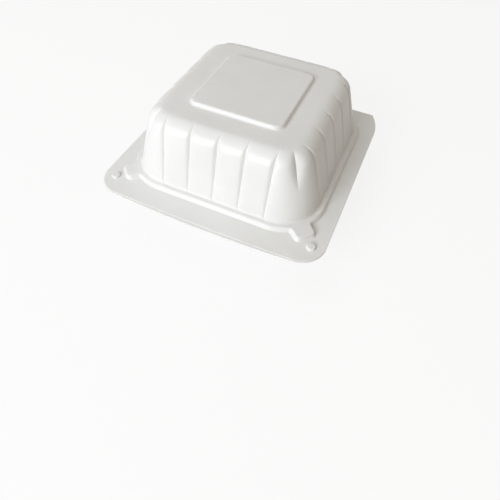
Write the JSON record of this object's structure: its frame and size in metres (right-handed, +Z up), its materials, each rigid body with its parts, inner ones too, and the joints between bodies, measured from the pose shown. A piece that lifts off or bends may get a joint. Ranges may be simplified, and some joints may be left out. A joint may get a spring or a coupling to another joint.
{
  "type": "clamshell food container",
  "caption": "Square hinged take-out container in thin white plastic, with a fluted dome lid and tray on a wide rim flange.",
  "frame": {"origin": "bottom centre of the closed container's bounding box, on the floor of the base", "axes": "+Z up out of the base towards the lid, -Y to the latching front edge, +Y to the living hinge, X across the rim"},
  "size_m": [0.15, 0.152, 0.076],
  "materials": {
    "base_sheet": "satin white thermoformed sheet",
    "lid_sheet": "satin white thermoformed sheet"
  },
  "bodies": {
    "base": {"base": "base_sheet"},
    "lid": {"lid": "lid_sheet"}
  },
  "joints": [
    {"name": "lid_hinge", "type": "hinge", "parent": "base", "child": "lid", "pos_m": [0, 0.076, 0.032], "axis": [-1, 0, 0], "range_deg": [0, 160]}
  ]
}
